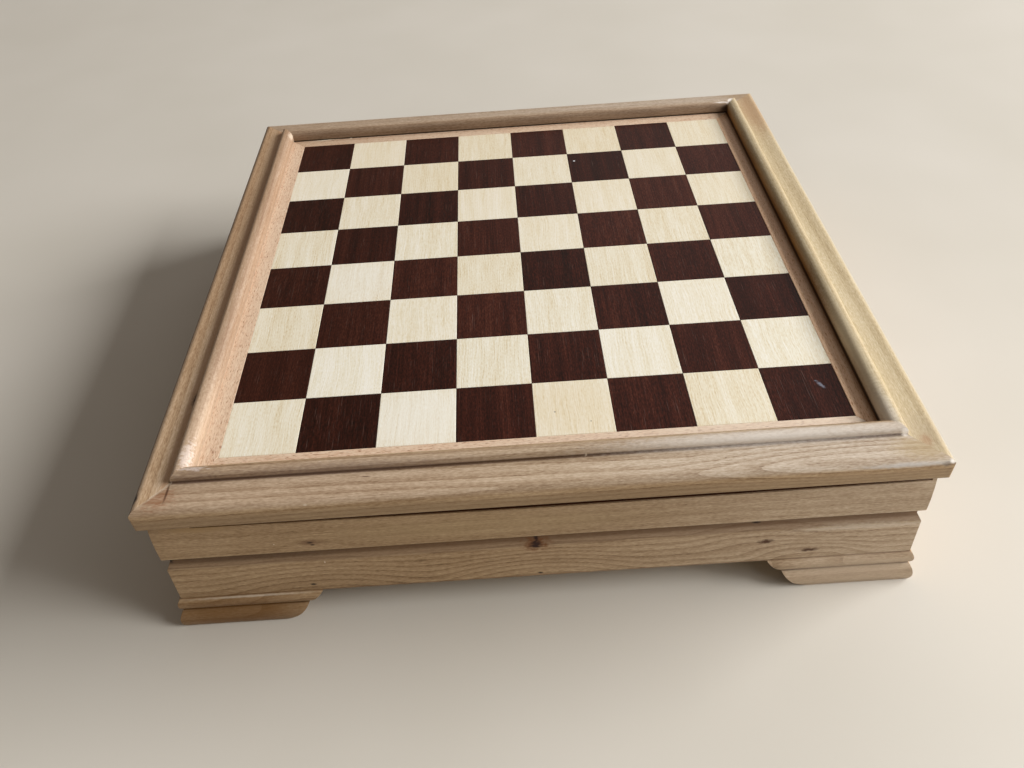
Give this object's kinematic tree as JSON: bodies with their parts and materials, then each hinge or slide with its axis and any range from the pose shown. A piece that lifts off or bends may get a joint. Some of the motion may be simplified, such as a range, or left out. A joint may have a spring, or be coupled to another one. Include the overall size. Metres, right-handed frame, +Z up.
{
  "type": "chess box with drawers",
  "caption": "Square chess box: an inlaid board in a moulded cap on a case with bracket feet, with drawers for the pieces at both players' sides.",
  "frame": {"origin": "on the table, under the centre of the board", "axes": "+Z up, +X towards the right drawer, -Y towards the fixed front of the case; the drawers open along -X and +X"},
  "size_m": [0.3924, 0.3924, 0.1003],
  "materials": {
    "cap_wood": "light brown hardwood, thin satin varnish over open grain",
    "case_wood": "light brown hardwood, thin satin varnish over open grain, with small knots",
    "maple_veneer": "pale maple veneer, satin",
    "mahogany_veneer": "dark red-brown mahogany veneer, satin",
    "beech": "pinkish beech, satin",
    "plywood": "bare birch plywood",
    "inner_wood": "bare planed poplar",
    "felt": "green wool felt",
    "steel": "zinc-plated steel screws"
  },
  "bodies": {
    "case": {"cap_rail_front": "cap_wood", "cap_rail_back": "cap_wood", "cap_rail_left": "cap_wood", "cap_rail_right": "cap_wood", "mitre_tongues": "plywood", "cap_dowels": "beech", "board_core": "plywood", "light_squares": "maple_veneer", "dark_squares": "mahogany_veneer", "border_front": "beech", "border_back": "beech", "border_left": "beech", "border_right": "beech", "backing_veneer": "inner_wood", "frieze_front": "case_wood", "frieze_back": "case_wood", "frieze_left_front": "case_wood", "frieze_left_back": "case_wood", "frieze_right_front": "case_wood", "frieze_right_back": "case_wood", "plinth_front": "case_wood", "plinth_back": "case_wood", "plinth_left_front": "case_wood", "plinth_left_back": "case_wood", "plinth_right_front": "case_wood", "plinth_right_back": "case_wood", "foot_block_left_front": "inner_wood", "foot_block_left_back": "inner_wood", "foot_block_right_front": "inner_wood", "foot_block_right_back": "inner_wood", "corner_blocks": "inner_wood", "bottom_panel": "plywood", "bottom_screws": "steel", "centre_divider": "inner_wood", "guide_left_front": "inner_wood", "guide_left_back": "inner_wood", "guide_right_front": "inner_wood", "guide_right_back": "inner_wood"},
    "drawer_left": {"drawer_left_frieze": "case_wood", "drawer_left_plinth": "case_wood", "drawer_left_inner_front": "inner_wood", "drawer_left_side_front": "inner_wood", "drawer_left_side_back": "inner_wood", "drawer_left_back": "inner_wood", "drawer_left_bottom": "plywood", "drawer_left_felt": "felt", "drawer_left_screws": "steel"},
    "drawer_right": {"drawer_right_frieze": "case_wood", "drawer_right_plinth": "case_wood", "drawer_right_inner_front": "inner_wood", "drawer_right_side_front": "inner_wood", "drawer_right_side_back": "inner_wood", "drawer_right_back": "inner_wood", "drawer_right_bottom": "plywood", "drawer_right_felt": "felt", "drawer_right_screws": "steel"}
  },
  "joints": [
    {"name": "drawer_left_slide", "type": "slide", "parent": "case", "child": "drawer_left", "axis": [-1, 0, 0], "range_m": [0, 0.13]},
    {"name": "drawer_right_slide", "type": "slide", "parent": "case", "child": "drawer_right", "axis": [1, 0, 0], "range_m": [0, 0.13]}
  ]
}
